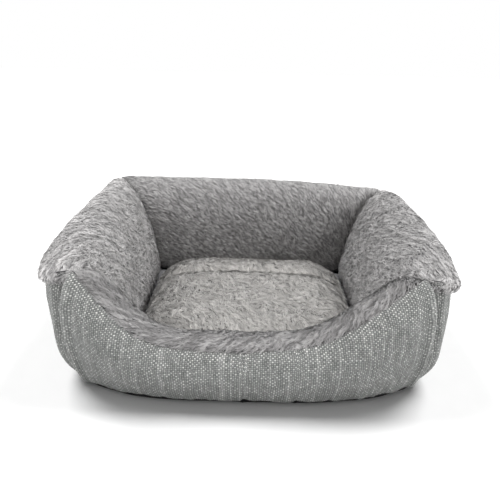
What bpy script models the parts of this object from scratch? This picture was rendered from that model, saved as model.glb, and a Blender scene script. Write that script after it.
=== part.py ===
"""A rectangular pet cushion bed: four stuffed walls with a low front, sewn round a base, and a loose cushion.

Metres, +Z up. The front faces -Y, and the origin is on the floor under the middle of the bed.

Each wall is a stuffed tube that meets its neighbours at a mitred corner seam. Every layer of it, from the
plush to the fibre fill, comes from one surface, wall_point(), pushed in by that layer's depth.
"""

import math
from collections import namedtuple

import bmesh
import bpy

# ---------------------------------------------------------------- driving dimensions

WELL_HALF_X = 0.208  # the walls' inner foot lines, from the origin
WELL_FRONT = 0.167
WELL_BACK = 0.123
WALL_TOP = 0.196
FRONT_TOP = 0.097  # at the bottom of the front wall's dip
FOOT = -0.010  # the stuffed section would end here if the base didn't cut it off flat
ROUNDNESS = 2.4  # 2 is an ellipse, and more is squarer
FRONT_SEAM_DROP = 0.009  # from a wall's ridge down to the seam between plush and woven cloth
SIDE_SEAM_DROP = 0.030

WOVEN = 0.0015  # cloth thicknesses
PILE = 0.004  # how far the plush stands proud of the woven cloth
PLUSH_BACKING = 0.002
BASE_CLOTH = 0.0015
WADDING = 0.009
LINING = 0.0015
GAP = 0.0004  # between pieces that touch

FOOT_SEAM_Z = BASE_CLOTH + 2.5 * GAP
INNER_SEAM_Z = 0.020
FILL_DEPTH = PLUSH_BACKING + 7 * GAP  # how far the fill lies under the woven cloth's face
FILL_FOOT_Z = BASE_CLOTH + 2 * GAP
SEAM_GAP_ANGLE = math.radians(1.4)

STATIONS = 24  # sections along a wall
WOVEN_ROWS = 5
PLUSH_ROWS = 9
FOOT_ROWS = 4

CUSHION_HALF_X = 0.190
CUSHION_HALF_Y = 0.139
CUSHION_Y = -0.024
CUSHION_UP = 0.050  # from the cushion's edge seam up to its crown
CUSHION_DOWN = 0.012
CUSHION_CORNER = 0.16  # how far its corners are rounded off
CUSHION_EDGE = 0.42  # 0.5 is an ellipse's edge, and less is fuller
CREASE_BACK = 0.434  # the sewn crease across it, from -1 at its front to 1 at its back
CREASE_WIDTH = 0.10
CREASE_SHARE = 0.3
CUSHION_ROWS = 14
CUSHION_COLUMNS = 12
CUSHION_PLUSH = 0.006
CUSHION_CLOTH = 0.0012

# How far a wall's section reaches outwards from its inner foot line: its middle, half its thickness,
# and how far its top leans out.
Bulge = namedtuple("Bulge", "middle half lean")
Corner = namedtuple("Corner", "x y top")
Wall = namedtuple("Wall", "along outward foot bulge top ends spread dips seam_drop")

CORNERS = {
    "front_left": Corner(Bulge(0.037, 0.029, 0.004), Bulge(0.012, 0.022, -0.010), 0.193),
    "front_right": Corner(Bulge(0.037, 0.029, 0.004), Bulge(0.012, 0.022, -0.010), 0.191),
    "back_left": Corner(Bulge(0.050, 0.044, 0.020), Bulge(0.064, 0.044, 0.012), WALL_TOP + 0.002),
    "back_right": Corner(Bulge(0.050, 0.044, 0.020), Bulge(0.064, 0.044, 0.012), WALL_TOP - 0.007),
}
X_AXIS, Y_AXIS = (1, 0), (0, 1)
WALLS = {
    "front": Wall(
        X_AXIS,
        (0, -1),
        WELL_FRONT,
        Bulge(0.045, 0.032, -0.006),
        FRONT_TOP,
        ("front_left", "front_right"),
        4,
        (2.5, 2.0),
        FRONT_SEAM_DROP,
    ),
    "back": Wall(
        X_AXIS,
        (0, 1),
        WELL_BACK,
        Bulge(0.062, 0.057, 0.014),
        WALL_TOP,
        ("back_left", "back_right"),
        8,
        (3, 3),
        SIDE_SEAM_DROP,
    ),
    "left": Wall(
        Y_AXIS,
        (-1, 0),
        WELL_HALF_X,
        Bulge(0.051, 0.050, 0.027),
        WALL_TOP,
        ("front_left", "back_left"),
        8,
        (3, 3),
        SIDE_SEAM_DROP,
    ),
    "right": Wall(
        Y_AXIS,
        (1, 0),
        WELL_HALF_X,
        Bulge(0.051, 0.050, 0.027),
        WALL_TOP,
        ("front_right", "back_right"),
        8,
        (3, 3),
        SIDE_SEAM_DROP,
    ),
}

# ---------------------------------------------------------------- the walls' surface


def mix(a, b, share):
    return a + (b - a) * share


def smooth(value):
    value = min(1.0, max(0.0, value))
    return value * value * (3 - 2 * value)


def signed_power(value, exponent):
    return math.copysign(abs(value) ** exponent, value)


def section(angle):
    """The unit section at this angle: 0 faces out, 90 degrees is the ridge, and 180 faces in."""
    return (
        signed_power(math.cos(angle), 2 / ROUNDNESS),
        signed_power(math.sin(angle), 2 / ROUNDNESS),
    )


def angle_at(height, top):
    """The outer face's angle where a section with this top is that high."""
    up = (height - (top + FOOT) / 2) / ((top - FOOT) / 2)
    return math.asin(signed_power(up, ROUNDNESS / 2))


def reach(bulge, out, up, depth):
    """How far out of the inner foot line a section reaches."""
    return bulge.middle + (bulge.half - depth) * out + bulge.lean * up


def end_of(wall, corner_name, side, angle, depth):
    """How far along the wall its corner seam is, at this angle and depth."""
    out, up = section(angle)
    corner = CORNERS[corner_name]
    if wall.along == X_AXIS:
        return side * (WELL_HALF_X + reach(corner.x, out, up, depth))
    return side * ((WELL_BACK if side > 0 else WELL_FRONT) + reach(corner.y, out, up, depth))


def top_at(wall, place):
    """The wall's height at this place along it, from -1 to 1."""
    corner = CORNERS[wall.ends[place > 0]]
    return mix(wall.top, corner.top, smooth(abs(place) ** wall.dips[place > 0]))


def wall_point(wall, place, angle, depth):
    """A point of the wall: place runs along it from -1 to 1, and depth is how far under the woven face."""
    corner = CORNERS[wall.ends[place > 0]]
    at_corner = corner.y if wall.along == X_AXIS else corner.x
    share = abs(place) ** wall.spread
    bulge = Bulge(*(mix(a, b, share) for a, b in zip(wall.bulge, at_corner)))
    top = top_at(wall, place)
    out, up = section(angle)
    outwards = wall.foot + reach(bulge, out, up, depth)
    ends = [end_of(wall, name, side, angle, depth) for name, side in zip(wall.ends, (-1, 1))]
    along = mix(*ends, (place + 1) / 2)
    half_height = (top - FOOT) / 2
    return (
        wall.along[0] * along + wall.outward[0] * outwards,
        wall.along[1] * along + wall.outward[1] * outwards,
        (top + FOOT) / 2 + (half_height - depth) * up,
    )


def stations(inset):
    """Places along a wall, a little closer together towards its corners."""
    end = 1 - inset
    places = [mix(2 * i / STATIONS - 1, -math.cos(math.pi * i / STATIONS), 0.5) for i in range(STATIONS + 1)]
    return [min(end, max(-end, place)) for place in places]


# ---------------------------------------------------------------- making solids


def clear_scene():
    for obj in list(bpy.data.objects):
        bpy.data.objects.remove(obj, do_unlink=True)


def make_collection(name):
    collection = bpy.data.collections.new(name)
    bpy.context.scene.collection.children.link(collection)
    return collection


def make_material(name, colour, roughness):
    material = bpy.data.materials.new(name)
    material.use_nodes = True
    shader = material.node_tree.nodes["Principled BSDF"]
    shader.inputs["Base Color"].default_value = (*colour, 1)
    shader.inputs["Roughness"].default_value = roughness
    shader.inputs["Metallic"].default_value = 0
    return material


def add_object(name, data, material):
    obj = bpy.data.objects.new(name, data)
    data.materials.append(material)
    BED.objects.link(obj)
    return obj


def mesh_object(name, points, faces, material):
    """A closed mesh from a loft's points and faces, with its faces turned outwards."""
    shape = bmesh.new()
    verts = [shape.verts.new(p) for p in points]
    for face in faces:
        shape.faces.new([verts[i] for i in face])
    bmesh.ops.recalc_face_normals(shape, faces=shape.faces)
    if shape.calc_volume(signed=True) < 0:
        bmesh.ops.reverse_faces(shape, faces=shape.faces)
    mesh = bpy.data.meshes.new(name)
    shape.to_mesh(mesh)
    shape.free()
    mesh.shade_smooth()
    mesh.set_sharp_from_angle(angle=math.radians(50))
    return add_object(name, mesh, material)


def ring_faces(rings, points_in_ring):
    """The faces between neighbouring rings of a loft."""
    return [
        (
            ring * points_in_ring + i,
            ring * points_in_ring + (i + 1) % points_in_ring,
            (ring + 1) * points_in_ring + (i + 1) % points_in_ring,
            (ring + 1) * points_in_ring + i,
        )
        for ring in range(rings - 1)
        for i in range(points_in_ring)
    ]


def foot_seam(wall, place):
    """The angle of a wall's seam with the base."""
    return angle_at(FOOT_SEAM_Z, top_at(wall, place))


def top_seam(wall, place):
    """The angle of the seam between woven cloth and plush, which rises towards the corners."""
    top = top_at(wall, place)
    return angle_at(top - mix(wall.seam_drop, FRONT_SEAM_DROP, abs(place) ** 6), top)


def plush_edge(wall, place):
    return top_seam(wall, place) + SEAM_GAP_ANGLE


def inner_seam(wall, place):
    """The angle where the plush is sewn to the floor lining's edge."""
    return math.pi - angle_at(INNER_SEAM_Z, top_at(wall, place))


def cloth_panel(name, wall, first_seam, last_seam, rows, outer_depth, inner_depth, material):
    """A sewn panel: at each station, across its face from one seam to the other and back underneath."""
    points, places = [], stations(0.002)
    for place in places:
        start, end = first_seam(wall, place), last_seam(wall, place)
        angles = [mix(start, end, i / rows) for i in range(rows + 1)]
        points += [wall_point(wall, place, angle, outer_depth) for angle in angles]
        points += [wall_point(wall, place, angle, inner_depth) for angle in reversed(angles)]
    in_ring = 2 * (rows + 1)
    faces = ring_faces(len(places), in_ring)
    for ring in (0, len(places) - 1):
        base = ring * in_ring
        last = base + in_ring - 1
        faces += [(base + i, base + i + 1, last - 1 - i, last - i) for i in range(rows)]
    return mesh_object(name, points, faces, material)


def bolster_fill(name, wall, material):
    """The fibre that stuffs a wall: a loft that follows the cloth's underside and lies flat on the base."""
    points, places = [], stations(0.014)
    for place in places:
        seams = [seam(wall, place) for seam in (foot_seam, top_seam, inner_seam)]
        seams.append(2 * math.pi + seams[0])
        angles = [
            mix(start, end, i / rows)
            for start, end, rows in zip(seams, seams[1:], (WOVEN_ROWS, PLUSH_ROWS, FOOT_ROWS))
            for i in range(rows)
        ]
        for angle in angles:
            x, y, z = wall_point(wall, place, angle, FILL_DEPTH)
            points.append((x, y, max(z, FILL_FOOT_Z)))
    in_ring = WOVEN_ROWS + PLUSH_ROWS + FOOT_ROWS
    faces = ring_faces(len(places), in_ring)
    faces.append(tuple(range(in_ring)))
    faces.append(tuple(range(len(points) - in_ring, len(points))))
    return mesh_object(name, points, faces, material)


def flat_cloth(name, outline, low, thickness, material):
    """A flat layer: a closed outline, filled and extruded."""
    curve = bpy.data.curves.new(name, "CURVE")
    curve.dimensions = "2D"
    curve.fill_mode = "BOTH"
    curve.extrude = thickness / 2
    spline = curve.splines.new("POLY")
    spline.points.add(len(outline) - 1)
    for point, (x, y) in zip(spline.points, outline):
        point.co = (x, y, 0, 1)
    spline.use_cyclic_u = True
    obj = add_object(name, curve, material)
    obj.location.z = low + thickness / 2
    return obj


def rounded_rectangle(half_x, half_y, centre_y, squareness, count):
    """A superellipse in plan."""
    return [
        (
            half_x * signed_power(math.cos(turn), 2 / squareness),
            centre_y + half_y * signed_power(math.sin(turn), 2 / squareness),
        )
        for turn in (2 * math.pi * i / count for i in range(count))
    ]


# ---------------------------------------------------------------- the pieces


def make_wall(side, wall):
    cloth_panel(f"outer_panel_{side}", wall, foot_seam, top_seam, WOVEN_ROWS, 0, WOVEN, WOVEN_GREY)
    cloth_panel(
        f"plush_panel_{side}", wall, plush_edge, inner_seam, PLUSH_ROWS, -PILE, PLUSH_BACKING, PLUSH_GREY
    )
    bolster_fill(f"bolster_fill_{side}", wall, FIBRE_WHITE)


def foot_outline():
    """The foot seam of the outer panels, once round the bed."""
    outline = []
    for side in ("front", "right", "back", "left"):
        wall = WALLS[side]
        places = stations(0)[1:]
        if side in ("back", "left"):
            places = [-place for place in places]
        for place in places:
            x, y, _ = wall_point(wall, place, foot_seam(wall, place), 0)
            outline.append((x, y))
    return outline


def make_base():
    flat_cloth("base_cloth", foot_outline(), 0, BASE_CLOTH, BLACK)
    middle = (WELL_BACK - WELL_FRONT) / 2
    half_y = (WELL_BACK + WELL_FRONT) / 2
    floor = rounded_rectangle(WELL_HALF_X - 0.001, half_y - 0.001, middle, 10, 48)
    wadding_foot = BASE_CLOTH + GAP
    lining_foot = wadding_foot + WADDING + GAP
    flat_cloth("base_wadding", floor, wadding_foot, WADDING, FIBRE_WHITE)
    flat_cloth("floor_lining", floor, lining_foot, LINING, LINING_GREY)
    return lining_foot + LINING + GAP


def cushion_point(across, back, inset, height):
    """A point of the pillow, with across and back from -1 to 1, and height up or down from its edge."""
    x = (CUSHION_HALF_X - inset) * across * math.sqrt(1 - CUSHION_CORNER * back**4)
    y = (CUSHION_HALF_Y - inset) * back * math.sqrt(1 - CUSHION_CORNER * across**4)
    fullness = ((1 - across**4) * (1 - back**4)) ** CUSHION_EDGE
    if height > 0:
        fullness *= 1 - CREASE_SHARE * math.exp(-(((back - CREASE_BACK) / CREASE_WIDTH) ** 2))
    return x, CUSHION_Y + y, height * fullness


def cushion_face(inset, height, edge_z):
    """One face of the pillow as a grid of rows, closer together towards its edge."""
    rows = [math.sin(math.pi / 2 * (2 * j / CUSHION_ROWS - 1)) for j in range(CUSHION_ROWS + 1)]
    columns = [math.sin(math.pi / 2 * (2 * i / CUSHION_COLUMNS - 1)) for i in range(CUSHION_COLUMNS + 1)]
    points = []
    for back in rows:
        for across in columns:
            x, y, z = cushion_point(across, back, inset, height)
            points.append((x, y, edge_z + z))
    return points


def cushion_solid(name, first, second, material):
    """The body between two faces of the pillow."""
    wide = CUSHION_COLUMNS + 1
    high = CUSHION_ROWS + 1
    corners = [j * wide + i for j in range(CUSHION_ROWS) for i in range(CUSHION_COLUMNS)]
    faces = [
        (start + c, start + c + 1, start + c + wide + 1, start + c + wide)
        for start in (0, wide * high)
        for c in corners
    ]
    edge = list(range(wide))
    edge += [j * wide + wide - 1 for j in range(1, high)]
    edge += [(high - 1) * wide + i for i in range(wide - 2, -1, -1)]
    edge += [j * wide for j in range(high - 2, 0, -1)]
    other = wide * high
    faces += [(a, b, b + other, a + other) for a, b in zip(edge, edge[1:] + edge[:1])]
    return mesh_object(name, first + second, faces, material)


def make_cushion(floor_z):
    edge_z = floor_z + CUSHION_DOWN + GAP
    top_z, bottom_z = edge_z + GAP, edge_z - GAP
    cushion_solid(
        "cushion_top_cover",
        cushion_face(0, CUSHION_UP, top_z),
        cushion_face(CUSHION_PLUSH, CUSHION_UP - CUSHION_PLUSH, top_z),
        PLUSH_GREY,
    )
    cushion_solid(
        "cushion_bottom_cover",
        cushion_face(0, -CUSHION_DOWN, bottom_z),
        cushion_face(CUSHION_PLUSH, CUSHION_CLOTH - CUSHION_DOWN, bottom_z),
        LINING_GREY,
    )
    inside = CUSHION_PLUSH + 4 * GAP
    cushion_solid(
        "cushion_fill",
        cushion_face(inside, CUSHION_UP - inside, edge_z + GAP / 2),
        cushion_face(inside, CUSHION_CLOTH + 2 * GAP - CUSHION_DOWN, edge_z - GAP / 2),
        FIBRE_WHITE,
    )


clear_scene()
BED = make_collection("pet_cushion_bed")
WOVEN_GREY = make_material("woven_grey", (0.33, 0.34, 0.33), 0.9)
PLUSH_GREY = make_material("plush_grey", (0.31, 0.31, 0.32), 0.95)
BLACK = make_material("black_base_cloth", (0.02, 0.02, 0.022), 0.55)
LINING_GREY = make_material("lining_grey", (0.25, 0.25, 0.26), 0.85)
FIBRE_WHITE = make_material("polyester_fibre", (0.85, 0.85, 0.83), 1.0)

for side_name, side_wall in WALLS.items():
    make_wall(side_name, side_wall)
make_cushion(make_base())
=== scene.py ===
"""The looks of a rectangular pet cushion bed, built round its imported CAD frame.

Metres, +Z up, front towards -Y. Every cloth of the four stuffed walls comes from one surface, wall_points(),
built like the CAD model's, and gets its weave, puckers and pile. The cushion comes from cushion_points().
"""

import math
from collections import namedtuple
from functools import partial, reduce

import bpy
import numpy as np
from mathutils import Matrix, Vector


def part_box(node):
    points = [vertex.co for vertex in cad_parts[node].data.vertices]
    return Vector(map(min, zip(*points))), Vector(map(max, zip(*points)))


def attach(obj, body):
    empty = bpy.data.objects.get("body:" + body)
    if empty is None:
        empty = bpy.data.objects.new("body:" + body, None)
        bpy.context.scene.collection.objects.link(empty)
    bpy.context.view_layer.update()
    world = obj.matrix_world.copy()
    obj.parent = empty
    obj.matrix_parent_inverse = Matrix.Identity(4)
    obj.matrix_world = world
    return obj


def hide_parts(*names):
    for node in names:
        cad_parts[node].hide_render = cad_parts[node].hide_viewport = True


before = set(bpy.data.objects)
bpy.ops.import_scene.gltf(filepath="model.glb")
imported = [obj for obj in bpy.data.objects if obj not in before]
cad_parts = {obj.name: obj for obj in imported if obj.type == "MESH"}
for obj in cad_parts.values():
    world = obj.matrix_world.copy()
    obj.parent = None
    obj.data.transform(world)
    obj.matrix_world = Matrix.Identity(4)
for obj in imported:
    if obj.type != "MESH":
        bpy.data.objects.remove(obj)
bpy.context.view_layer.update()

# ------------ sizes, from the frame where it has them

WADDING_INSET = 0.001  # the wadding stops this far short of the walls' inner foot lines
wadding_low, wadding_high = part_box("base_wadding")
lining_low, lining_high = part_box("floor_lining")
cushion_low, cushion_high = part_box("cushion_top_cover")
under_low, under_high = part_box("cushion_bottom_cover")

WELL_HALF_X = wadding_high.x + WADDING_INSET
WELL_FRONT = -wadding_low.y + WADDING_INSET
WELL_BACK = wadding_high.y + WADDING_INSET

FOOT = -0.010  # the stuffed section would end here if the base didn't cut it off flat
ROUNDNESS = 2.4  # of the section: 2 is an ellipse
WALL_TOP = 0.196
FRONT_TOP = 0.097
FRONT_SEAM_DROP = 0.0075  # the plush seam is this far under the ridge
SIDE_SEAM_DROP = 0.030
CORNER_SEAM_DROP = 0.0028
FRONT_END_SEAM_DROPS = (0.0028, 0.0018)
FRONT_SEAM_RISES = (1.2, 0.55)  # powers: how late the front's seam nears the ridge towards each end
SEAM_RISE = 6
FOOT_SEAM_Z = 0.0025
INNER_SEAM_Z = 0.0125  # the plush's lower edge, beside the cushion
CLOTH_FOOT_Z = 0.0008  # no wall cloth goes lower

Bulge = namedtuple("Bulge", "middle half lean")
Corner = namedtuple("Corner", "x y top")
# spread and dips are powers: how late the section and the top turn into the corner's towards a wall's ends
Wall = namedtuple("Wall", "along outward foot bulge top ends spread dips seam_drop")

FRONT_CORNER = (Bulge(0.037, 0.029, 0.004), Bulge(0.012, 0.022, -0.010))
BACK_CORNER = (Bulge(0.050, 0.044, 0.020), Bulge(0.064, 0.044, 0.012))
CORNERS = {
    "front_left": Corner(*FRONT_CORNER, WALL_TOP - 0.003),
    "front_right": Corner(*FRONT_CORNER, WALL_TOP - 0.005),
    "back_left": Corner(*BACK_CORNER, WALL_TOP + 0.002),
    "back_right": Corner(*BACK_CORNER, WALL_TOP - 0.015),
}
X_AXIS, Y_AXIS = (1, 0), (0, 1)
SIDE_BULGE = Bulge(0.051, 0.050, 0.027)
WALLS = {
    "front": Wall(
        X_AXIS, (0, -1), WELL_FRONT, Bulge(0.045, 0.032, -0.006), FRONT_TOP,
        ("front_left", "front_right"), 4, (2.9, 1.7), FRONT_SEAM_DROP,
    ),
    "back": Wall(
        X_AXIS, (0, 1), WELL_BACK, Bulge(0.062, 0.057, 0.014), WALL_TOP,
        ("back_left", "back_right"), 8, (3, 1.2), SIDE_SEAM_DROP,
    ),
    "left": Wall(
        Y_AXIS, (-1, 0), WELL_HALF_X, SIDE_BULGE, WALL_TOP,
        ("front_left", "back_left"), 8, (3, 3), SIDE_SEAM_DROP,
    ),
    "right": Wall(
        Y_AXIS, (1, 0), WELL_HALF_X, SIDE_BULGE, WALL_TOP,
        ("front_right", "back_right"), 8, (3, 3), SIDE_SEAM_DROP,
    ),
}
HEM_WAVE = 0.0012
FRONT_HEM_LIFTS = (  # height, place and width of each rise in the front's hem
    (0.0045, 0.80, 0.10),
    (0.004, -0.02, 0.012),
    (0.003, 0.28, 0.012),
    (0.006, 0.96, 0.05),
)

# ------------ numbers that vary smoothly or at random


def mix(a, b, share):
    return a + (b - a) * share


def smooth(value):
    value = np.clip(value, 0, 1)
    return value * value * (3 - 2 * value)


def signed_power(value, exponent):
    return np.sign(value) * np.abs(value) ** exponent


def bump_at(value, centre, width):
    """1 at the centre, fading to nothing over a few widths."""
    return np.exp(-(((value - centre) / width) ** 2))


def hashed(column, row, seed):
    """A repeatable number from 0 to 1 for each cell of a lattice."""
    mixed = column.astype(np.int64) * 374761393 + row.astype(np.int64) * 668265263 + seed * 974634777
    mixed = (mixed ^ (mixed >> 13)) & 0xFFFFFFFF
    mixed = (mixed * 1274126177) & 0xFFFFFFFF
    mixed = mixed ^ (mixed >> 16)
    return (mixed & 0xFFFFFF) / float(0x1000000)


def noise(u, v, seed):
    """Smooth noise from -1 to 1 whose features are about 1 wide."""
    column, row = np.floor(u), np.floor(v)
    right, up = smooth(u - column), smooth(v - row)
    low = mix(hashed(column, row, seed), hashed(column + 1, row, seed), right)
    high = mix(hashed(column, row + 1, seed), hashed(column + 1, row + 1, seed), right)
    return 2 * mix(low, high, up) - 1


NOISE_LAYERS = ((1, 1), (2.1, 0.5), (4.3, 0.25))  # the fineness and height of each


def layered_noise(u, v, seed):
    """Noise with two finer layers added."""
    layers = [height * noise(fine * u, fine * v, seed + i) for i, (fine, height) in enumerate(NOISE_LAYERS)]
    return sum(layers) / 1.4


# ------------ the walls' surface, built like the CAD model's


def section(angle):
    """The unit section: 0 faces out, 90 degrees is the ridge, and 180 faces in."""
    return signed_power(np.cos(angle), 2 / ROUNDNESS), signed_power(np.sin(angle), 2 / ROUNDNESS)


def angle_at(height, top):
    up = (height - (top + FOOT) / 2) / ((top - FOOT) / 2)
    return np.arcsin(signed_power(up, ROUNDNESS / 2))


def reach(bulge, out, up, depth):
    return bulge.middle + (bulge.half - depth) * out + bulge.lean * up


def end_of(wall, corner_name, side, angle, depth):
    out, up = section(angle)
    corner = CORNERS[corner_name]
    if wall.along == X_AXIS:
        return side * (WELL_HALF_X + reach(corner.x, out, up, depth))
    return side * ((WELL_BACK if side > 0 else WELL_FRONT) + reach(corner.y, out, up, depth))


def by_end(place, values):
    """The value of the corner that each place is nearer to."""
    return np.where(place > 0, values[1], values[0])


def top_at(wall, place):
    corner_top = by_end(place, [CORNERS[name].top for name in wall.ends])
    return mix(wall.top, corner_top, smooth(np.abs(place) ** by_end(place, wall.dips)))


def wall_points(wall, place, angle, depth):
    """Points of a wall: place runs along it from -1 to 1, and depth is how far under the woven face."""
    corners = [CORNERS[name] for name in wall.ends]
    corners = [corner.y if wall.along == X_AXIS else corner.x for corner in corners]
    share = np.abs(place) ** wall.spread
    sizes = [mix(size, by_end(place, pair), share) for size, pair in zip(wall.bulge, zip(*corners))]
    top = top_at(wall, place)
    out, up = section(angle)
    outwards = wall.foot + reach(Bulge(*sizes), out, up, depth)
    ends = [end_of(wall, name, side, angle, depth) for name, side in zip(wall.ends, (-1, 1))]
    along = mix(*ends, (place + 1) / 2)
    height = (top + FOOT) / 2 + ((top - FOOT) / 2 - depth) * up
    x = wall.along[0] * along + wall.outward[0] * outwards
    y = wall.along[1] * along + wall.outward[1] * outwards
    return np.stack(np.broadcast_arrays(x, y, height), axis=-1)


def foot_seam(wall, place):
    return angle_at(FOOT_SEAM_Z + hem_lift(wall, place), top_at(wall, place))


def top_seam(wall, place):
    """The angle of the seam between plush and weave, which nears the ridge towards the corners."""
    end_drop, rise = CORNER_SEAM_DROP, SEAM_RISE
    if wall is WALLS["front"]:
        end_drop, rise = by_end(place, FRONT_END_SEAM_DROPS), by_end(place, FRONT_SEAM_RISES)
    top = top_at(wall, place)
    return angle_at(top - mix(wall.seam_drop, end_drop, np.abs(place) ** rise), top)


def inner_seam(wall, place):
    return math.pi - angle_at(INNER_SEAM_Z, top_at(wall, place))


def hem_lift(wall, place):
    """How far the hem has ridden up: it is uneven, and most so at the front's right corner."""
    side = next(side for side, other in WALLS.items() if other is wall)
    lift = HEM_WAVE * (1 + noise(place * 9, place * 0, 11 + sorted(WALLS).index(side)))
    if side == "front":
        for height, centre, width in FRONT_HEM_LIFTS:
            lift = lift + height * bump_at(place, centre, width)
    return lift


# ------------ cloth surfaces

Surface = namedtuple("Surface", "points normals cloth turned")


def tangents(points):
    return np.gradient(points, axis=0), np.gradient(points, axis=1)


def unit(vectors):
    return vectors / np.maximum(np.linalg.norm(vectors, axis=-1, keepdims=True), 1e-12)


def cloth_coordinates(points):
    """Metres along and across the cloth for each point of a grid."""
    steps = np.linalg.norm(np.diff(points, axis=1), axis=2)
    across = np.concatenate([np.zeros((len(points), 1)), np.cumsum(steps, axis=1)], axis=1)
    middle = points.shape[1] // 2
    runs = np.linalg.norm(np.diff(points[:, middle], axis=0), axis=1)
    along = np.concatenate([[0], np.cumsum(runs)])[:, None] + 0 * across
    return np.stack([along, across, across / across[:, -1:]], axis=-1)


def make_surface(points, behind):
    """A grid of points with outward normals, away from the points behind it, and cloth coordinates."""
    normals = unit(np.cross(*tangents(points)))
    turned = ((points - behind) * normals).sum() < 0
    return Surface(points, -normals if turned else normals, cloth_coordinates(points), turned)


def moved(surface, height):
    """The surface pushed out along its normals."""
    return reshaped(surface, surface.points + surface.normals * height[..., None])


def reshaped(surface, points):
    """The surface with new points, still facing the same way."""
    normals = unit(np.cross(*tangents(points)))
    return surface._replace(points=points, normals=-normals if surface.turned else normals)


def area_of(points):
    """The area of a grid of points."""
    along = points[1:, :-1] - points[:-1, :-1]
    across = points[:-1, 1:] - points[:-1, :-1]
    return float(np.linalg.norm(np.cross(along, across), axis=2).sum())


def cut_size(surface):
    """The flat cut of a cloth: its width and length, and its area."""
    area = area_of(surface.points)
    width = float(np.linalg.norm(np.diff(surface.points, axis=0), axis=2).sum(axis=0).max())
    length = float(surface.cloth[:, -1, 1].max())
    return (width, length), min(area, width * length)


def link_object(name, data):
    obj = bpy.data.objects.new(name, data)
    bpy.context.scene.collection.objects.link(obj)
    return obj


def finish_mesh(name, points, faces, materials):
    """A mesh object from arrays of points and of faces with equally many corners."""
    mesh = bpy.data.meshes.new(name)
    mesh.vertices.add(len(points))
    mesh.vertices.foreach_set("co", np.ascontiguousarray(points, np.float32).ravel())
    corners = faces.shape[1]
    mesh.loops.add(faces.size)
    mesh.loops.foreach_set("vertex_index", np.ascontiguousarray(faces, np.int32).ravel())
    mesh.polygons.add(len(faces))
    mesh.polygons.foreach_set("loop_start", np.arange(0, faces.size, corners, dtype=np.int32))
    mesh.update(calc_edges=True)
    mesh.shade_smooth()
    for material in materials:
        mesh.materials.append(material)
    return link_object(name, mesh)


def grid_faces(columns, rows, closed=False):
    """The quads of a grid. A closed one joins its last row to its first."""
    index = np.arange(columns * rows).reshape(columns, rows)
    if closed:
        index = np.concatenate([index, index[:, :1]], axis=1)
    corners = [index[:-1, :-1], index[1:, :-1], index[1:, 1:], index[:-1, 1:]]
    return np.stack(corners, axis=-1).reshape(-1, 4)


def split(quads):
    return np.concatenate([quads[:, [0, 1, 2]], quads[:, [0, 2, 3]]])


def closed_mesh(name, points, faces, material):
    """A closed mesh object, its faces turned to look outwards."""
    triangles = faces if faces.shape[1] == 3 else split(faces)
    a, b, c = (points[triangles[:, k]] for k in range(3))
    if (a * np.cross(b, c)).sum() < 0:
        faces = faces[:, ::-1]
    return finish_mesh(name, points, faces, [material])


def capped_loft(name, rings, caps, material):
    """A closed mesh object over rings of points, each end a fan to its cap point."""
    count, sides = rings.shape[:2]
    points = np.concatenate([rings.reshape(-1, 3), caps])
    ring = np.arange(sides)
    following = np.roll(ring, -1)
    first = np.stack([ring, following, np.full(sides, len(points) - 2)], axis=1)
    last = np.stack([following, ring, np.full(sides, len(points) - 1)], axis=1)
    last[:, :2] += (count - 1) * sides
    triangles = np.concatenate([split(grid_faces(count, sides, closed=True)), first, last])
    return closed_mesh(name, points, triangles, material)


def pillow_mesh(name, upper, lower, material):
    """A closed mesh object from two grids of points, joined round their rims."""
    faces = grid_faces(*upper.shape[:2])
    index = np.arange(upper[..., 0].size).reshape(upper.shape[:2])
    rim = np.concatenate([index[:, 0], index[-1, 1:], index[-2::-1, -1], index[0, -2:0:-1]])
    skirt = np.stack([rim, np.roll(rim, -1), np.roll(rim, -1) + index.size, rim + index.size], axis=1)
    points = np.concatenate([upper.reshape(-1, 3), lower.reshape(-1, 3)])
    quads = np.concatenate([faces, faces[:, ::-1] + index.size, skirt[:, ::-1]])
    return closed_mesh(name, points, quads, material)


def set_cloth(obj, vectors):
    attribute = obj.data.attributes.new("cloth", "FLOAT_VECTOR", "POINT")
    attribute.data.foreach_set("vector", np.ascontiguousarray(vectors, np.float32).ravel())


def grid_object(name, surface, material):
    columns, rows = surface.points.shape[:2]
    faces = grid_faces(columns, rows)
    if surface.turned:
        faces = faces[:, ::-1]
    obj = finish_mesh(name, surface.points.reshape(-1, 3), faces, [material])
    set_cloth(obj, surface.cloth.reshape(-1, 3))
    return obj


def label(pieces, body, replaced=None):
    """Says which body the pieces move with, and hides the CAD part that they replace."""
    for piece in pieces:
        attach(piece, body)
    if replaced:
        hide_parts(replaced)


# ------------ materials


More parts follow.
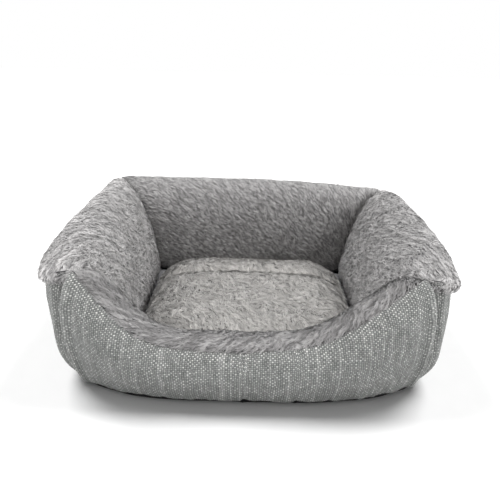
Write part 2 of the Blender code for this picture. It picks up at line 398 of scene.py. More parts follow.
class Nodes:
    """Shorthand for wiring up a material."""

    def __init__(self, name, roughness, **settings):
        self.material = bpy.data.materials.new(name)
        self.material.use_nodes = True
        self.tree = self.material.node_tree
        self.shader = self.tree.nodes["Principled BSDF"]
        self.shader.inputs["Roughness"].default_value = roughness
        for socket, value in settings.items():
            self.shader.inputs[socket.replace("_", " ")].default_value = value

    def wire(self, value, socket):
        if isinstance(value, bpy.types.NodeSocket):
            self.tree.links.new(value, socket)
        else:
            socket.default_value = value

    def node(self, kind, output, **inputs):
        """The output of a new node whose inputs are given values or sockets."""
        node = self.tree.nodes.new(kind)
        for name, value in inputs.items():
            self.wire(value, node.inputs[name])
        return node.outputs[output]

    def maths(self, operation, *values):
        node = self.tree.nodes.new("ShaderNodeMath")
        node.operation = operation
        for value, socket in zip(values, node.inputs):
            self.wire(value, socket)
        return node.outputs[0]

    def add(self, *values):
        return reduce(partial(self.maths, "ADD"), values)

    def times(self, *values):
        return reduce(partial(self.maths, "MULTIPLY"), values)

    def cloth(self):
        """The cloth coordinates along and across, and the share of the way across."""
        attribute = self.tree.nodes.new("ShaderNodeAttribute")
        attribute.attribute_name = "cloth"
        parts = self.tree.nodes.new("ShaderNodeSeparateXYZ")
        self.wire(attribute.outputs["Vector"], parts.inputs[0])
        return parts.outputs

    def object_point(self):
        return self.node("ShaderNodeTexCoord", "Object")

    def vector(self, x, y):
        return self.node("ShaderNodeCombineXYZ", "Vector", X=x, Y=y)

    def noise(self, vector, scale, detail=2.0):
        return self.node("ShaderNodeTexNoise", "Fac", Vector=vector, Scale=scale, Detail=detail)

    def random(self, vector):
        return self.node("ShaderNodeTexWhiteNoise", "Value", Vector=vector)

    def paint(self, value, *stops):
        """Colours the surface along a value, each stop a place and a colour."""
        ramp = self.tree.nodes.new("ShaderNodeValToRGB")
        self.wire(value, ramp.inputs[0])
        elements = ramp.color_ramp.elements
        while len(elements) < len(stops):
            elements.new(0.5)
        for element, (place, colour) in zip(elements, stops):
            element.position = place
            element.color = (*colour, 1)
        self.wire(ramp.outputs[0], self.shader.inputs["Base Color"])

    def relief(self, height, distance, strength):
        bump = self.node("ShaderNodeBump", "Normal", Distance=distance, Strength=strength, Height=height)
        self.wire(bump, self.shader.inputs["Normal"])


THREAD_ALONG = 0.0033  # one crossing of the basket weave
THREAD_ACROSS = 0.0027


def woven_material():
    """A chunky grey basket weave with off-white flecks and uneven slub columns, painted shade between its
    crossings and painted light towards its top seam.
    """
    nodes = Nodes("woven_grey_tweed", 0.88, Sheen_Weight=0.15, Sheen_Roughness=0.6)
    add, times, maths, vector = nodes.add, nodes.times, nodes.maths, nodes.vector
    along, across, share = nodes.cloth()
    place = vector(along, across)
    drift = times(add(nodes.noise(place, 60.0), -0.5), 1.5)
    column = add(maths("DIVIDE", along, THREAD_ALONG), drift)
    row = add(maths("DIVIDE", across, THREAD_ACROSS), times(drift, 0.6))
    whole_column, whole_row = maths("FLOOR", column), maths("FLOOR", row)
    over = maths("FLOORED_MODULO", add(whole_column, whole_row), 2.0)
    chance = nodes.random(vector(whole_column, whole_row))
    bow_along = maths("SINE", times(maths("FRACT", column), math.pi))
    bow_across = maths("SINE", times(maths("FRACT", row), math.pi))
    # painted shade: dome is lightest on each crossing's crown and dark at its edges, where the threads turn
    # into shade
    dome = times(bow_along, bow_across)
    slub = nodes.noise(vector(times(whole_column, 3.7), times(across, 45.0)), 1.0, 1.0)
    thick = maths("GREATER_THAN", nodes.random(vector(whole_column, 7.0)), 0.84)
    hair = nodes.noise(vector(along, times(across, 2.5)), 900.0, 3.0)
    cloud = nodes.noise(place, 14.0, 3.0)
    # painted light: the floats lighten over the panel's top third, where it turns up under the seam towards
    # the light
    painted_light_under_seam = maths("SMOOTH_MAX", add(times(share, 3.0), -2.0), 0.0, 0.3)
    bright = maths("SMOOTH_MAX", add(chance, slub, times(cloud, 0.8), -1.25), 0.0, 0.2)
    tone = add(
        times(dome, 0.32),
        times(dome, over, add(0.16, times(bright, 0.55), times(painted_light_under_seam, 0.26))),
        times(chance, 0.14),
        times(slub, 0.28),
        times(thick, slub, 0.18),
        times(hair, 0.10),
        times(cloud, 0.10),
        -0.24,
    )
    nodes.paint(
        tone,
        (0.0, (0.060, 0.063, 0.060)),
        (0.25, (0.165, 0.171, 0.165)),
        (0.50, (0.290, 0.296, 0.285)),
        (0.75, (0.450, 0.452, 0.436)),
        (1.0, (0.68, 0.67, 0.645)),
    )
    relief = add(times(dome, 0.8), times(hair, 0.3), times(slub, 0.5))
    nodes.relief(relief, 0.0008, 0.9)
    return nodes.material


def pile_material(name, tone):
    """One tone of the plush's fibres."""
    nodes = Nodes(name, 0.9, Sheen_Weight=0.35, Sheen_Roughness=0.45)
    nodes.shader.inputs["Base Color"].default_value = (*tone, 1)
    return nodes.material


def shaded_backing_material(name, dark, light):
    """The plush's ground, seen between its fibres: streaked like them, and coloured darker as painted shade.
    """
    nodes = Nodes(name, 0.95, Sheen_Weight=0.3, Sheen_Roughness=0.5)
    along, across, _ = nodes.cloth()
    streak = nodes.noise(nodes.vector(nodes.times(along, 3.0), across), 110.0, 4.0)
    cloud = nodes.noise(nodes.vector(along, across), 22.0, 2.0)
    nodes.paint(nodes.add(nodes.times(streak, 0.7), nodes.times(cloud, 0.3)), (0.3, dark), (0.7, light))
    nodes.relief(streak, 0.002, 0.6)
    return nodes.material


def plain_weave_material(name, dark, light, roughness, thread=0.0008):
    """A fine even weave, for the cloths that line and cover the underside."""
    nodes = Nodes(name, roughness)
    along, across, _ = nodes.cloth()
    warp = nodes.maths("SINE", nodes.times(along, 2 * math.pi / thread))
    weft = nodes.maths("SINE", nodes.times(across, 2 * math.pi / thread))
    weave = nodes.add(nodes.times(warp, weft, 0.5), 0.5)
    cloud = nodes.noise(nodes.vector(along, across), 60.0, 4.0)
    nodes.paint(nodes.add(nodes.times(weave, 0.4), nodes.times(cloud, 0.6)), (0.2, dark), (0.8, light))
    nodes.relief(weave, 0.0003, 0.5)
    return nodes.material


def fibre_material():
    """White polyester fibre: cloudy, with fine crossing hairs."""
    nodes = Nodes("polyester_fibre_white", 0.95, Sheen_Weight=0.4, Sheen_Roughness=0.6)
    point = nodes.object_point()
    cloud = nodes.noise(point, 45.0, 5.0)
    nodes.paint(cloud, (0.3, (0.70, 0.70, 0.68)), (0.7, (0.90, 0.90, 0.88)))
    nodes.relief(nodes.noise(point, 300.0, 6.0), 0.002, 0.6)
    return nodes.material


def grip_material():
    nodes = Nodes("grip_dot_rubber", 0.55)
    speckle = nodes.noise(nodes.object_point(), 900.0, 2.0)
    nodes.paint(speckle, (0.3, (0.015, 0.015, 0.016)), (0.7, (0.035, 0.035, 0.037)))
    return nodes.material


TONE_COUNT = 6


def tones(prefix, colour, spread):
    """Fibre materials from dark to light round one colour."""
    made = []
    for i in range(TONE_COUNT):
        share = 1 + spread * (2 * i / (TONE_COUNT - 1) - 1)
        made.append(pile_material(f"{prefix}_{i + 1}", [channel * share for channel in colour]))
    return made


WOVEN = woven_material()
PLUSH_COLOUR = (0.37, 0.362, 0.360)
PLUSH_PAINTED_LIGHT_SHARES = {"front": 0.83, "back": 0.95, "left": 1.34, "right": 1.24}  # painted light and shade: each wall's copy of the plush is lightened or darkened for how the light falls on it
PLUSH_TONES = {
    side: tones(f"plush_{side}_fibre", [channel * share for channel in PLUSH_COLOUR], 0.36)
    for side, share in PLUSH_PAINTED_LIGHT_SHARES.items()
}
# painted light: the cushion's plush is coloured lighter and warmer than the walls', for the light on its
# upturned face
CUSHION_PAINTED_LIGHT_TONES = tones("cushion_fibre", (0.48, 0.467, 0.450), 0.30)
# painted shade: both grounds are coloured darker than their fibres, for the shade down between the locks
PLUSH_SHADED_GROUND = shaded_backing_material("plush_ground", (0.10, 0.10, 0.10), (0.30, 0.30, 0.30))
CUSHION_SHADED_GROUND = shaded_backing_material("cushion_ground", (0.08, 0.078, 0.074), (0.25, 0.243, 0.232))
LINING = plain_weave_material("lining_grey_weave", (0.16, 0.16, 0.165), (0.30, 0.30, 0.31), 0.85)
BASE_CLOTH = plain_weave_material("black_base_weave", (0.008, 0.008, 0.009), (0.035, 0.035, 0.037), 0.7)
# painted shadow: a near-black cord that darkens the groove of each plush seam
SEAM_SHADOW_CORD = plain_weave_material("seam_dark_thread", (0.03, 0.03, 0.03), (0.10, 0.10, 0.10), 0.8, 0.002)
FIBRE = fibre_material()
GRIP = grip_material()

# ------------ the walls' woven panels

WALL_SEEDS = {"front": 100, "back": 200, "left": 300, "right": 400}
END_INSET = 0.002
WALL_OVERRUN = 0.12  # how much longer a wall's face is than the well beside it
WOVEN_PITCH = 0.0013  # between the grid's columns
WOVEN_ROWS = 126
WOVEN_MITRE = ((0.004, 0.004), 0.008)  # how deep each end turns in at the corners, and over what share
TUCK_WIDTH = 0.004
TUCK_DEPTH = 0.0035
THREAD_RELIEF = 0.0005
SLUB_RELIEF = 0.00035
WEAVE_MEAN = 0.0003
Fold = namedtuple("Fold", "height width length")
WAVES = Fold(0.0016, 0.07, 0.05)
HEM_PUCKERS = Fold(0.0016, 0.011, 0.09)
SEAM_GATHERS = Fold(0.0009, 0.008, 0.1)
CORNER_DRAG = Fold(0.0022, 0.022, 0.2)
DRAG_SLANT = 0.55
PUCKER_REACH = 0.014
GATHER_REACH = 0.010
FRONT_RIDGE = (0.0070, 0.965, 0.022)  # height, place and width: the front's corner seams stand up
OTHER_RIDGE = (-0.0080, 0.985, 0.030)  # and the other panels' are sunk beside them
PANEL_BELLY = 0.0030
SIDE_BELLY = 0.0120


def spread_places(wall, pitch):
    length = 2 * WELL_HALF_X if wall.along == X_AXIS else WELL_FRONT + WELL_BACK
    return np.linspace(-1, 1, int((length + WALL_OVERRUN) / pitch))[:, None] * (1 - END_INSET)


def edge_fade(place, share, margin):
    """1 over a panel, falling to 0 at its seamed edges and its ends."""
    return smooth(np.minimum(share, 1 - share) / margin) * smooth((1 - np.abs(place)) / 0.012)


def weave_height(cloth, seed):
    """The relief of the basket weave: domed crossings, uneven columns."""
    column, row = cloth[..., 0] / THREAD_ALONG, cloth[..., 1] / THREAD_ACROSS
    whole_column, whole_row = np.floor(column), np.floor(row)
    dome = np.sin(math.pi * (column - whole_column)) * np.sin(math.pi * (row - whole_row))
    chance = hashed(whole_column, whole_row, seed)
    slub = noise(whole_column * 3.7, cloth[..., 1] * 38, seed + 1)
    over = (whole_column + whole_row) % 2
    return THREAD_RELIEF * dome * (0.4 + 0.6 * over + 0.5 * chance) + SLUB_RELIEF * slub - WEAVE_MEAN


def fold_height(fold, along, across, seed):
    return fold.height * noise(along / fold.width, across / fold.length, seed)


def woven_folds(side, place, cloth, seed):
    """The slow shape of a woven panel: soft waves, hem puckers, and the ridges of its corner seams."""
    along, across = cloth[..., 0], cloth[..., 1]
    length = across[:, -1:]
    share = across / length
    waves = fold_height(WAVES, along, across, seed + 2)
    puckers = fold_height(HEM_PUCKERS, along, across, seed + 3) * np.exp(-across / PUCKER_REACH)
    gathers = fold_height(SEAM_GATHERS, along, across, seed + 4) * np.exp(-(length - across) / GATHER_REACH)
    drag = fold_height(CORNER_DRAG, along - DRAG_SLANT * across, across, seed + 5) * np.abs(place) ** 9
    height, centre, width = FRONT_RIDGE if side == "front" else OTHER_RIDGE
    ridge = height * bump_at(np.abs(place), centre, width)
    upright = np.sin(math.pi * np.clip(share, 0.02, 0.98)) ** 0.3
    belly = PANEL_BELLY * np.sin(math.pi * share) ** 2 * (1 - np.abs(place) ** 30)
    if side in ("left", "right"):
        belly = belly + SIDE_BELLY * bump_at(share, 0.24, 0.24) * bump_at(place, -0.86, 0.26)
    return waves + puckers + gathers + drag + ridge * upright + belly


def tucked(wall, place, angles, deep, mitre_depths, mitre_width):
    """A wall surface whose seamed edges turn in under the cloth, as do its ends at the mitred corners."""
    flat_points = wall_points(wall, place, angles, 0.0)
    across = cloth_coordinates(flat_points)[..., 1]
    from_edge = np.minimum(across, across[:, -1:] - across)
    depth = deep * np.clip(1 - from_edge / TUCK_WIDTH, 0, 1) ** 1.5
    depth = depth + by_end(place, mitre_depths) * bump_at(1 - np.abs(place), 0, mitre_width)
    points = wall_points(wall, place, angles, depth)
    return make_surface(points, wall_points(wall, place, angles, depth + 0.01))


def make_woven_panel(side, wall):
    place = spread_places(wall, WOVEN_PITCH)
    share = np.linspace(0, 1, WOVEN_ROWS)[None, :]
    angles = mix(foot_seam(wall, place), top_seam(wall, place), share)
    surface = tucked(wall, place, angles, TUCK_DEPTH, *WOVEN_MITRE)
    seed = WALL_SEEDS[side]
    cut, area = cut_size(surface)
    edge = edge_fade(place, share, 0.03)
    height = woven_folds(side, place, surface.cloth, seed) * edge + weave_height(surface.cloth, seed) * edge
    points = moved(surface, height).points
    points[..., 2] = np.maximum(points[..., 2], CLOTH_FOOT_Z)
    shaped = make_surface(points, surface.points - 0.01 * surface.normals)._replace(cloth=surface.cloth)
    panel = grid_object(f"woven_panel_{side}", shaped, WOVEN)
    label([panel], "bed", f"outer_panel_{side}")


# ------------ the plush and its pile


Pile = namedtuple("Pile", "count length width lift sweep tones")
# slant from straight across the cloth; how far it wanders, and over what; then its clumps' sizes, and how
# strongly the gaps between them are darkened as painted shade
Lie = namedtuple("Lie", "slant wander reach width length relief contrast")
Lobe = namedtuple("Lobe", "centre width out down")
LIES = {
    "front": Lie(math.radians(58), 0.007, 0.040, 0.0040, 0.024, 0.0026, 0.58),
    "back": Lie(math.radians(50), 0.005, 0.030, 0.0030, 0.009, 0.0024, 0.62),
    "left": Lie(math.radians(42), 0.0075, 0.045, 0.0031, 0.024, 0.0036, 0.56),
    "right": Lie(math.radians(56), 0.0075, 0.045, 0.0031, 0.024, 0.0036, 0.60),
}
CUSHION_LIE = Lie(math.radians(-35), 0.011, 0.030, 0.0042, 0.020, 0.0030, 0.40)
LIE_STEP = 0.0004  # how far apart the lie is compared, to find which way it runs
LOCK_WAIST = 0.42  # half a lock's width in its middle
LOCK_ROOT_DEPTH = 0.0006
LOCK_FACES = np.array([[0, 1, 2], [0, 2, 3], [3, 2, 4]])
PLUSH_PITCH = 0.0020
PLUSH_ROWS = 150
PLUSH_PROUD = 0.0015  # the plush's ground, over the woven cloth's face
PLUSH_TUCK = 0.002
PLUSH_COUNTS = {"front": 56000, "back": 64000, "left": 60000, "right": 60000}
SIDE_MITRES = (0.004, 0.009)
PLUSH_MITRES = {"front": (0.004, 0.004), "back": (0.009, 0.009), "left": SIDE_MITRES, "right": SIDE_MITRES}
PLUSH_MITRE_WIDTH = 0.025
LEFT_LOBE = Lobe(0.07, 0.16, -0.027, 0.015)
RIGHT_LOBE = Lobe(0.10, 0.22, 0.028, 0.017)


def flow(cloth, manner, seed):
    """Metres across and along the pile's lie, which slants, and wanders as stroked plush does."""
    along, across = cloth[..., 0], cloth[..., 1]
    beside = along * math.cos(manner.slant) - across * math.sin(manner.slant)
    onward = along * math.sin(manner.slant) + across * math.cos(manner.slant)
    return beside + manner.wander * layered_noise(along / manner.reach, across / manner.reach, seed), onward


def clumps(lie, onward, manner, seed):
    """Locks of pile that cling together: ridges that run with the lie, with narrow gaps between them."""
    broad = noise(lie / manner.width, onward / manner.length, seed)
    narrow = noise(lie / (0.55 * manner.width), onward / (0.6 * manner.length), seed + 1)
    return 2 * np.abs(0.75 * broad + 0.45 * narrow) ** 0.6 - 1.05


def grow_pile(name, surface, manner, pile, seed):
    """Tapered locks over a surface, lying along the lines of equal lie, in raised clumps with painted shade
    darkening the gaps between them.
    """
    random = np.random.default_rng(seed)
    along, across = tangents(surface.points)
    cells = np.linalg.norm(np.cross(along, across), axis=2)[:-1, :-1]
    chances = np.cumsum(cells.ravel())
    cell = np.searchsorted(chances, random.random(pile.count) * chances[-1])
    i, j = np.divmod(np.minimum(cell, cells.size - 1), cells.shape[1])
    part_i, part_j = random.random((2, pile.count, 1))

    def sample(field):
        """The field at each lock's root."""
        near = mix(field[i, j], field[i + 1, j], part_i)
        far = mix(field[i, j + 1], field[i + 1, j + 1], part_i)
        return mix(near, far, part_j)

    def varied(size, least, spread):
        return size * (least + spread * random.random(pile.count))[:, None]

    root, normal = sample(surface.points), unit(sample(surface.normals))
    run_along, run_across = unit(sample(along)), unit(sample(across))
    cloth = sample(surface.cloth)
    lie, onward = flow(cloth, manner, seed)
    clump = clumps(lie, onward, manner, seed + 5)
    slope_along = flow(cloth + np.array([LIE_STEP, 0, 0]), manner, seed)[0] - lie
    slope_across = flow(cloth + np.array([0, LIE_STEP, 0]), manner, seed)[0] - lie
    root = root + normal * (manner.relief * (0.5 + 0.5 * clump))[:, None]
    heading = slope_across[:, None] * run_along - slope_along[:, None] * run_across
    heading = unit(heading - normal * (heading * normal).sum(axis=1, keepdims=True))
    turn = random.normal(0, pile.sweep, pile.count)[:, None]
    heading = np.cos(turn) * heading + np.sin(turn) * np.cross(normal, heading)
    roll = random.normal(0, 0.30, pile.count)[:, None]
    blade = np.cos(roll) * np.cross(normal, heading) + np.sin(roll) * normal
    length = varied(pile.length, 0.55, 0.9)
    width = varied(pile.width, 0.6, 0.8)
    lift = varied(pile.lift, 0.3, 1.1)
    start = root - normal * LOCK_ROOT_DEPTH
    middle = root + heading * length * 0.5 + normal * lift * 0.85
    tip = root + heading * length + normal * lift * varied(1, 0.5, 0.7)
    foot, waist = blade * width * 0.5, blade * width * LOCK_WAIST
    corners = np.stack([start - foot, start + foot, middle + waist, middle - waist, tip], axis=1)
    faces = (np.arange(pile.count)[:, None, None] * corners.shape[1] + LOCK_FACES).reshape(-1, 3)
    obj = finish_mesh(name, corners.reshape(-1, 3), faces, pile.tones)
    # painted shade: locks in the gaps between clumps take darker tones, and a little random tone is added
    shade = 0.5 + manner.contrast * clump + 0.07 * random.normal(0, 1, pile.count)
    tone = np.clip(shade * len(pile.tones), 0, len(pile.tones) - 1).astype(np.int32)
    obj.data.polygons.foreach_set("material_index", np.repeat(tone, len(LOCK_FACES)))
    return obj


def corner_lobes(side, place, share):
    """Where the front corners' plush droops over the seam: how far it moves outwards and down."""
    if side == "back":
        return np.zeros((*np.broadcast(place, share).shape, 3))
    at_right = place > 0 if side == "front" else np.full(place.shape, side == "right")
    near = bump_at(np.abs(place), 1.0, 0.05) if side == "front" else bump_at(place, -1.0, 0.16)
    lobe = Lobe(*(np.where(at_right, right, left) for left, right in zip(LEFT_LOBE, RIGHT_LOBE)))
    droop = near * bump_at(share, lobe.centre, lobe.width)
    return np.stack([lobe.out * droop, -0.002 * droop, -lobe.down * droop], axis=-1)


def plush_fullness(side, place, angle):
    """How much fuller than the CAD solid the plush stands, where a wall's top hangs out over its side."""
    over_top = bump_at(angle, math.radians(60), math.radians(38))
    if side in ("left", "right"):
        return 0.0060 * over_top * bump_at(place, -0.35, 0.75)
    if side == "front":
        return 0.003 * over_top * np.abs(place) ** 3
    return 0.002 * over_top


def make_plush_panel(side, wall):
    start_turn, lock_length = (1.5, 0.0074) if side == "front" else (0.6, 0.0088)
    place = spread_places(wall, PLUSH_PITCH)
    share = np.linspace(0, 1, PLUSH_ROWS)[None, :]
    angles = mix(top_seam(wall, place) + math.radians(start_turn), inner_seam(wall, place), share)
    surface = tucked(wall, place, angles, PLUSH_TUCK, PLUSH_MITRES[side], PLUSH_MITRE_WIDTH)
    seed = WALL_SEEDS[side] + 50
    cut, area = cut_size(surface)
    manner = LIES[side]
    slow = layered_noise(surface.cloth[..., 0] / 0.05, surface.cloth[..., 1] / 0.05, seed + 9)
    height = PLUSH_PROUD + plush_fullness(side, place, angles) - manner.relief / 2 + 0.0022 * slow
    shaped = moved(surface, height * edge_fade(place, share, 0.05))
    shaped = reshaped(shaped, shaped.points + corner_lobes(side, place, share))
    ground = grid_object(f"plush_ground_{side}", shaped, PLUSH_SHADED_GROUND)
    pile = Pile(PLUSH_COUNTS[side], lock_length, 0.0013, 0.0022, 0.16, PLUSH_TONES[side])
    locks = grow_pile(f"plush_pile_{side}", shaped, manner, pile, seed)
    label([ground, locks], "bed", f"plush_panel_{side}")


# ------------ the walls' filling and seams


FILL_DEPTH = 0.0060  # under the woven cloth's face
FILL_FOOT_Z = 0.0023
FILL_END_INSET = 0.014
FILL_LUMPS = 0.0012
FILL_DRAWN_IN = 0.012  # at its closed ends
CORD_RADIUS = 0.0009
CORD_DEPTH = 0.0006
CORD_SIDES = 8


def make_filling(side, wall):
    """The fibre that stuffs a wall: a closed, slightly lumpy loft, flat where it lies on the base."""
    place = np.linspace(-1, 1, 90)[:, None] * (1 - FILL_END_INSET)
    seams = [foot_seam(wall, place), top_seam(wall, place), inner_seam(wall, place)]
    seams.append(2 * math.pi + seams[0])
    spans = [
        mix(start, end, np.linspace(0, 1, count, endpoint=False)[None, :])
        for start, end, count in zip(seams, seams[1:], (20, 30, 14))
    ]
    angles = np.concatenate(spans, axis=1)
    lump = FILL_LUMPS * noise(place * 14, angles * 4, WALL_SEEDS[side] + 80)
    drawn_in = FILL_DRAWN_IN * bump_at(1 - np.abs(place), 0, 0.08)
    points = wall_points(wall, place, angles, FILL_DEPTH + lump + drawn_in)
    points[..., 2] = np.maximum(points[..., 2], FILL_FOOT_Z)
    filling = capped_loft(f"wall_filling_{side}", points, points[[0, -1]].mean(axis=1), FIBRE)
    label([filling], "bed", f"bolster_fill_{side}")
    return filling


def make_seam_shadow_cord(side, wall):
    """The sunk seam between plush and woven cloth: a dark cord laid in its groove as painted shadow."""
    place = np.linspace(-1, 1, 260) * (1 - 0.006)
    angle = top_seam(wall, place) + math.radians(0.3)
    path = wall_points(wall, place, angle, np.full(place.shape, CORD_DEPTH))
    forward = unit(np.gradient(path, axis=0))
    beside = unit(np.cross(forward, np.array([0.0, 0.0, 1.0])))
    rise = np.cross(beside, forward)
    turns = np.linspace(0, 2 * math.pi, CORD_SIDES, endpoint=False)
    ring = np.cos(turns)[None, :, None] * beside[:, None] + np.sin(turns)[None, :, None] * rise[:, None]
    from_end = np.minimum(np.arange(len(path)), np.arange(len(path))[::-1])
    taper = np.sqrt(np.clip(from_end / 3, 0.05, 1))
    points = path[:, None] + ring * (CORD_RADIUS * taper)[:, None, None]
    cord = capped_loft(f"top_seam_{side}", points, path[[0, -1]], SEAM_SHADOW_CORD)
    along = np.concatenate([[0], np.cumsum(np.linalg.norm(np.diff(path, axis=0), axis=1))])
    cloth = np.stack(np.broadcast_arrays(along[:, None], turns * CORD_RADIUS, 0.0), axis=-1).reshape(-1, 3)
    set_cloth(cord, np.concatenate([cloth, np.zeros((2, 3))]))
    label([cord], "bed")


# ------------ the base

HEM_TURN = 0.0125  # how far the black cloth is turned up behind the woven hem
HEM_TURN_DEPTH = 0.0050
PLAN_SQUARENESS = 14.0
LINING_PAST_FRONT = 0.019  # how far the lining runs in under the walls, to meet their plush
LINING_PAST_BACK = 0.010
GRIP_PITCH = 0.020
GRIP_RADIUS = 0.0022
GRIP_DEEP = 0.0009
GRIP_MARGIN = 0.055


def make_turned_edge(side, wall):
    """The base cloth's edge, turned up behind the hem and seen as slivers under it."""
    place = spread_places(wall, 0.003)
    heights = np.linspace(CLOTH_FOOT_Z, HEM_TURN, 9)[None, :]
    angles = angle_at(heights, top_at(wall, place))
    wave = 0.0003 * noise(place * 40, heights * 0, WALL_SEEDS[side] + 70)
    points = wall_points(wall, place, angles, HEM_TURN_DEPTH + wave)
    surface = make_surface(points, wall_points(wall, place, angles, 2 * HEM_TURN_DEPTH))
    cut, area = cut_size(surface)
    edge = grid_object(f"base_edge_{side}", surface, BASE_CLOTH)
    label([edge], "bed")


def plan_grid(low, high, pitch):
    """Points over a rounded rectangle in plan, from a square's own grid."""
    centre, half = (low + high) / 2, (high - low) / 2
    across = np.linspace(-1, 1, int(2 * half[0] / pitch))[:, None]
    back = np.linspace(-1, 1, int(2 * half[1] / pitch))[None, :]
    pull = 1 / PLAN_SQUARENESS
    x = centre[0] + half[0] * across * np.sqrt(1 - pull * back**8)
    y = centre[1] + half[1] * back * np.sqrt(1 - pull * across**8)
    return np.stack([x, y, 0 * x * y], axis=-1)


def in_plan(vector):
    return np.array([vector.x, vector.y])


def foot_line(side, count):
    """Points along a wall's foot seam, a little inside it."""
    place = np.linspace(-1, 1, count)
    wall = WALLS[side]
    return wall_points(wall, place, foot_seam(wall, place), 0.003)[:, :2]


def foot_patch(columns, rows):
    """A grid of plan points that fills the outline of the four foot seams."""
    front, back = foot_line("front", columns), foot_line("back", columns)
    left, right = foot_line("left", rows), foot_line("right", rows)
    across = np.linspace(0, 1, columns)[:, None, None]
    onward = np.linspace(0, 1, rows)[None, :, None]
    along_x = mix(front[:, None], back[:, None], onward)
    along_y = mix(left[None], right[None], across)
    corners = mix(mix(front[0], front[-1], across), mix(back[0], back[-1], across), onward)
    return along_x + along_y - corners


def make_base_sheet():
    """The black cloth under everything, with its rubber grip dots."""
    plan = foot_patch(140, 110)
    along, across = plan[..., 0], plan[..., 1]
    height = 0.0011 + 0.0002 * noise(along / 0.03, across / 0.03, 900)
    points = np.stack([along, across, height], axis=-1)
    surface = make_surface(points, points + np.array([0, 0, 0.01]))
    cut, area = cut_size(surface)
    sheet = grid_object("base_sheet", surface, BASE_CLOTH)
    dots = make_grip_dots(points)
    label([sheet, dots], "bed", "base_cloth")


def make_grip_dots(points):
    """Small rubber domes in staggered rows over the underside."""
    rings, sides = 3, 10
    turns = np.linspace(0, 2 * math.pi, sides, endpoint=False)
    rise = np.linspace(0, 1, rings, endpoint=False)[:, None] * math.pi / 2
    size = GRIP_RADIUS * np.cos(rise)
    height = GRIP_DEEP * (1 - np.sin(rise)) + 0 * turns
    dome = np.stack([size * np.cos(turns), size * np.sin(turns), height], axis=-1).reshape(-1, 3)
    dome = np.concatenate([dome, np.zeros((1, 3))])
    last_ring = np.arange(sides) + (rings - 1) * sides
    tip = np.stack([last_ring, np.roll(last_ring, -1), np.full(sides, rings * sides)], axis=1)
    dome_faces = np.concatenate([split(grid_faces(rings, sides, closed=True)), tip])
    low, high = points.min(axis=(0, 1)) + GRIP_MARGIN, points.max(axis=(0, 1)) - GRIP_MARGIN
    centres = [
        (x, y, 0)
        for row, y in enumerate(np.arange(low[1], high[1], GRIP_PITCH))
        for x in np.arange(low[0] + (row % 2) * GRIP_PITCH / 2, high[0], GRIP_PITCH)
    ]
    vertices = (np.array(centres)[:, None] + dome).reshape(-1, 3)
    faces = (np.arange(len(centres))[:, None, None] * len(dome) + dome_faces).reshape(-1, 3)
    return finish_mesh("grip_dots", vertices, faces[:, ::-1], [GRIP])


def make_base_pad():
    """The wadding: a closed flat pad, its edges rounded and its top a little uneven."""
    top = plan_grid(in_plan(wadding_low), in_plan(wadding_high), 0.006)
    across = np.abs(np.linspace(-1, 1, top.shape[0]))[:, None]
    back = np.abs(np.linspace(-1, 1, top.shape[1]))[None, :]
    rounded = 1 - 0.75 * np.maximum(across, back) ** 40
    middle, half = (wadding_low.z + wadding_high.z) / 2, (wadding_high.z - wadding_low.z) / 2
    uneven = 1 - 0.06 * (1 + noise(top[..., 0] / 0.03, top[..., 1] / 0.03, 910))
    bottom = top.copy()
    top[..., 2] = middle + half * uneven * rounded
    bottom[..., 2] = middle - half * rounded
    pad = pillow_mesh("base_pad", top, bottom, FIBRE)
    label([pad], "bed", "base_wadding")


def make_well_lining():
    """The smooth cloth under the cushion."""
    low, high = in_plan(lining_low), in_plan(lining_high)
    low[1], high[1] = -WELL_FRONT - LINING_PAST_FRONT, WELL_BACK + LINING_PAST_BACK
    points = plan_grid(low, high, 0.003)
    uneven = 0.0005 * layered_noise(points[..., 0] / 0.03, points[..., 1] / 0.03, 920)
    points[..., 2] = (lining_low.z + lining_high.z) / 2 + uneven
    surface = make_surface(points, points - np.array([0, 0, 0.01]))
    cut, area = cut_size(surface)
    lining = grid_object("well_lining", surface, LINING)
    label([lining], "bed", "floor_lining")


# ------------ the cushion

CUSHION_HALF_X = cushion_high.x
CUSHION_HALF_Y = (cushion_high.y - cushion_low.y) / 2
CUSHION_Y = (cushion_high.y + cushion_low.y) / 2
CUSHION_EDGE_Z = (cushion_low.z + under_high.z) / 2
CUSHION_UP = cushion_high.z - cushion_low.z
CUSHION_DOWN = under_high.z - under_low.z
CUSHION_CORNER = 0.16
CUSHION_EDGE = 0.42
CREASE_BACK = 0.434
CREASE_WIDTH = 0.10
CREASE_SHARE = 0.3
CUSHION_CUT = (2 * CUSHION_HALF_X + 0.03, 2 * CUSHION_HALF_Y + 0.04)  # its plan, and its rise
CUSHION_COLUMNS, CUSHION_ROWS = 190, 150
CUSHION_PILE_ROOM = 0.0035  # how far the top's ground is drawn in under its pile


def cushion_points(across, back, inset, height):
    """Points of the pillow, with across and back from -1 to 1, and height up or down from its edge."""
    x = (CUSHION_HALF_X - inset) * across * np.sqrt(1 - CUSHION_CORNER * back**4)
    y = (CUSHION_HALF_Y - inset) * back * np.sqrt(1 - CUSHION_CORNER * across**4)
    fullness = ((1 - across**4) * (1 - back**4)) ** CUSHION_EDGE
    if height > 0:
        fullness = fullness * (1 - CREASE_SHARE * bump_at(back, CREASE_BACK, CREASE_WIDTH))
    return np.stack(np.broadcast_arrays(x, CUSHION_Y + y, CUSHION_EDGE_Z + height * fullness), axis=-1)


def eased(count):
    """Places from -1 to 1, closer together towards the ends."""
    return np.sin(math.pi / 2 * np.linspace(-1, 1, count) * 0.999)


